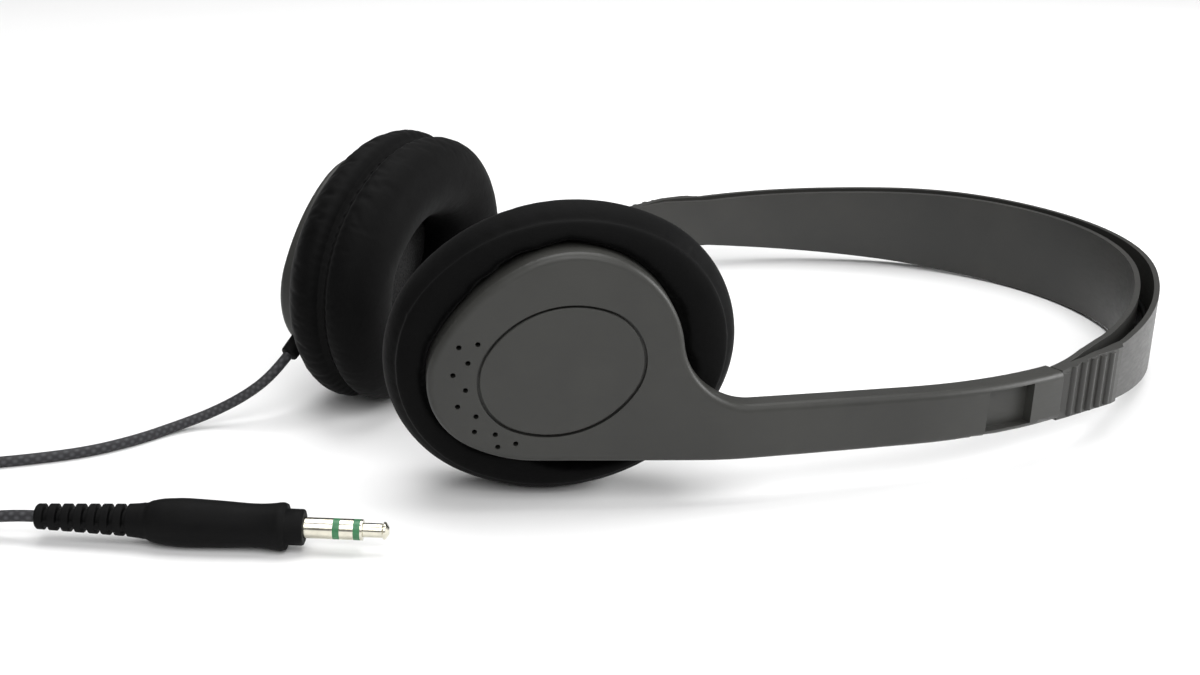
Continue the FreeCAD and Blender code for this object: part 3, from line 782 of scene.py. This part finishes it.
def sewn(side, grid):
    """Presses the seam into the cushion and puckers the cloth on both sides of it."""
    rng = np.random.default_rng(PAD_SEED[side])
    phase = rng.uniform(-0.9, 0.9, PUCKERS)
    strength = rng.uniform(0.4, 1.25, PUCKERS)
    shaped = grid.reshape(PAD_ROUND, PAD_ACROSS, 3).copy()
    for i in range(PAD_ROUND):
        middle = oval_at(side, 2 * math.pi * i / PAD_ROUND)[0]
        centre = np.array([middle.x, middle.y, PAD_DEPTH])
        place = i * PUCKERS / PAD_ROUND
        k = int(place) % PUCKERS
        after = (k + 1) % PUCKERS
        ease = place - int(place)
        wave = math.cos(2 * math.pi * place + phase[k] * (1 - ease) + phase[after] * ease)
        size = strength[k] * (1 - ease) + strength[after] * ease
        for j in range(PAD_ACROSS):
            off = angle_from(2 * math.pi * j / PAD_ACROSS, SEAM[side])
            groove = SEAM_DEPTH * math.exp(-(off / SEAM_WIDTH) ** 2)
            beside = math.exp(-((abs(off) - PUCKER_OFF) / PUCKER_WIDTH) ** 2)
            out = shaped[i, j] - centre
            shaped[i, j] -= out / np.linalg.norm(out) * (groove - PUCKER_DEPTH * size * wave * beside)
    return shaped.reshape(-1, 3)


def seated(grid, rim):
    """Flattens the cushion's back on the foam and the rim, and lets it bulge round the shell's wall."""
    placed = grid.copy()
    for k, (u, v, n) in enumerate(grid):
        reach = math.hypot(u, v)
        turn = math.degrees(math.atan2(v, u)) % 360
        low, share = int(turn), turn - int(turn)
        edge = rim[low] * (1 - share) + rim[(low + 1) % 360] * share
        ceiling = RIM_DEPTH - BACK_GAP
        ceiling -= FOAM_SEAT_DROP * float(1 - smoothstep((reach - FOAM_SEAT_R) / FOAM_SEAT_RUN))
        ceiling += WALL_RISE * float(smoothstep((reach - edge - WALL_GAP) / WALL_RUN))
        over = n - ceiling
        if over > -SQUASH:
            placed[k, 2] = ceiling - SQUASH * math.exp(-(over + SQUASH) / SQUASH)
    return placed


def make_cushion(side, material, thread_and_seam_shade):
    """One ring cushion with its gathered seam, painted shade along the seam's groove, and stitches."""
    place = cup_frame(side)
    faces = wrapped(PAD_ROUND, PAD_ACROSS)
    if side == "right":
        faces = [face[::-1] for face in faces]
    grid = pad_grid(side, SWELL_ROOM)
    grid = simulate(side, grid, faces)
    grid = seated(sewn(side, grid), rim_radii(side))
    pad = add_mesh(side + "_ring_cushion", [place @ (Vector(p) * MM) for p in grid], faces, material)
    # The thread's black material on the faces along the seam groove is painted shade in the groove.
    pad.data.materials.append(thread_and_seam_shade)
    for face in pad.data.polygons:
        around = 2 * math.pi * (face.index % PAD_ACROSS + 0.5) / PAD_ACROSS
        if abs(angle_from(around, SEAM[side])) < SEAM_PAINTED_SHADE:
            face.material_index = 1
    for vertex in pad.data.vertices:
        vertex.co.z = max(vertex.co.z, FLOOR_GAP)
    subdivide(pad)
    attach(pad, side + "_arm")
    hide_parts(side + "_cushion")
    make_stitches(side, place, thread_and_seam_shade)


def make_stitches(side, place, material):
    """Row of short thread stitches at the bottom of the seam."""
    verts, faces = [], []
    seam = SEAM[side]
    depth = section_reach(side, seam, SEAM_DEPTH - 0.05)
    half = STITCH_HALF
    rings = [(-half, 0.25), (-half * 0.7, 0.8), (0.0, 1.0), (half * 0.7, 0.8), (half, 0.25)]
    sides = range(STITCH_SIDES)
    for k in range(PUCKERS):
        middle, normal = oval_at(side, 2 * math.pi * (k + 0.5) / PUCKERS)
        outward = Vector((normal.x * math.cos(seam), normal.y * math.cos(seam), -math.sin(seam)))
        centre = Vector((middle.x, middle.y, PAD_DEPTH)) + outward * depth
        along = Vector((-normal.y, normal.x, 0))
        across = outward.cross(along)
        first = len(verts)
        for at, share in rings:
            for j in sides:
                turn = 2 * math.pi * j / STITCH_SIDES
                spoke = (across * math.cos(turn) + outward * math.sin(turn)) * STITCH_R * share
                verts.append(place @ ((centre + along * at + spoke) * MM))
        last = len(verts) - STITCH_SIDES
        tube = wrapped(len(rings), STITCH_SIDES, around_rows=False)
        faces += [tuple(first + n for n in face) for face in tube]
        faces.append(tuple(first + j for j in sides)[::-1])
        faces.append(tuple(last + j for j in sides))
    stitches = add_mesh(side + "_seam_stitches", verts, faces, material)
    fix_normals(stitches)
    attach(stitches, side + "_arm")


def foam_front(side):
    """Points of the foam's front from middle to rim: crowned, rolled at the rim and a little uneven."""
    rng = random.Random(FOAM_SEED[side])
    verts = []
    for i in range(FOAM_RINGS + 1):
        reach = FOAM_R * i / FOAM_RINGS
        roll = FOAM_ROLL_DEEP * max(0.0, (reach - FOAM_FLAT_R) / FOAM_ROLL_WIDE) ** 2
        crown = FOAM_CROWN * (1 - (reach / FOAM_R) ** 2) - roll
        for j in range(FOAM_COLUMNS if i else 1):
            turn = 2 * math.pi * j / FOAM_COLUMNS
            dimple = rng.uniform(-FOAM_UNEVEN, FOAM_UNEVEN) if i < FOAM_RINGS else 0.0
            depth = FOAM_MIDDLE - FOAM_FRONT - crown + dimple
            verts.append((reach * math.cos(turn), reach * math.sin(turn), depth))
    return verts


def make_foam(side, material):
    """Crowned foam disc with a soft rim and an uneven, open surface."""
    columns = FOAM_COLUMNS
    verts = foam_front(side)
    faces = [(0, 1 + (j + 1) % columns, 1 + j) for j in range(columns)]
    for face in wrapped(FOAM_RINGS, columns, around_rows=False):
        faces.append(tuple(1 + n for n in face)[::-1])
    edge = len(verts) - columns
    last = len(verts)
    verts += [(u, v, FOAM_MIDDLE + FOAM_BACK) for u, v, _ in verts[edge:]]
    for j in range(columns):
        k = (j + 1) % columns
        faces.append((edge + j, edge + k, last + k, last + j))
    faces.append(tuple(last + j for j in range(columns)))
    place = cup_frame(side)
    disc = add_mesh(side + "_speaker_foam", [place @ (Vector(p) * MM) for p in verts], faces, material)
    fix_normals(disc)
    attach(disc, side + "_arm")
    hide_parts(side + "_foam_disc")


def fix_normals(piece):
    """Turns every face of a closed mesh outwards."""
    mesh = bmesh.new()
    mesh.from_mesh(piece.data)
    bmesh.ops.recalc_face_normals(mesh, faces=mesh.faces)
    mesh.to_mesh(piece.data)
    mesh.free()


# ---------------------------------------------------------------- CAD nodes that stay
def make_looks():
    """Material of each slot."""
    rubber = moulded_rubber()
    steel = bright_metal("fastener_steel", (0.06, 0.06, 0.06), 0.45)
    return {
        "shell_plastic": moulded_plastic("shell_plastic", (0.026, 0.026, 0.024), (0.032, 0.032, 0.029), 0.44),
        "band_plastic": moulded_plastic("band_plastic", (0.028, 0.028, 0.0265), (0.034, 0.0335, 0.031), 0.42),
        "frame_plastic": moulded_plastic("frame_plastic", (0.012, 0.012, 0.012), (0.018, 0.018, 0.018), 0.5),
        "cushion_leatherette": leatherette(),
        "speaker_foam": open_foam(),
        "cord_jacket": cord_jacket(),
        "moulded_rubber": rubber,
        "wire_sleeve": rubber,
        "plug_metal": bright_metal("plug_metal", (0.74, 0.71, 0.6), 0.2),
        "plug_insulator": green_plastic(),
        "fastener_steel": steel,
        "magnet_steel": steel,
        "coil_copper": bright_metal("coil_copper", (0.62, 0.29, 0.16), 0.35),
        "diaphragm_film": moulded_plastic("diaphragm_film", (0.4, 0.4, 0.38), (0.5, 0.5, 0.47), 0.3),
        "circuit_board": moulded_plastic("circuit_board", (0.02, 0.1, 0.05), (0.03, 0.14, 0.07), 0.35),
    }


def dress_nodes(looks):
    """Gives each CAD node that stays the material of its slot."""
    slots = {entry["node"]: entry["material_slot"] for entry in frame["record"]["subparts"]}
    for name, piece in frame["nodes"].items():
        piece.data.materials.clear()
        piece.data.materials.append(looks[slots[name]])


SEAM = {side: seam_angle(side) for side in LOBES}
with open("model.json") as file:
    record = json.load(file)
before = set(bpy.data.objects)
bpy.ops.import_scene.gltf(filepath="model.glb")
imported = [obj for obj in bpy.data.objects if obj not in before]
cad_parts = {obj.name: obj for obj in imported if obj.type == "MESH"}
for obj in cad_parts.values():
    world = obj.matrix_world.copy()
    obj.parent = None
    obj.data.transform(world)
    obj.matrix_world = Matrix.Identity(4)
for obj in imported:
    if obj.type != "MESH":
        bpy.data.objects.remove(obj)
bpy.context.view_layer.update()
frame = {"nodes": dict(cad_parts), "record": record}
place_camera()
looks = make_looks()
dress_nodes(looks)
set_stage()
handle = make_handle(looks["moulded_rubber"])
make_cord(looks["cord_jacket"])
thread_and_seam_shade = thread_and_groove_shade()
for cup in ("left", "right"):
    make_cushion(cup, looks["cushion_leatherette"], thread_and_seam_shade)
    make_foam(cup, looks["speaker_foam"])
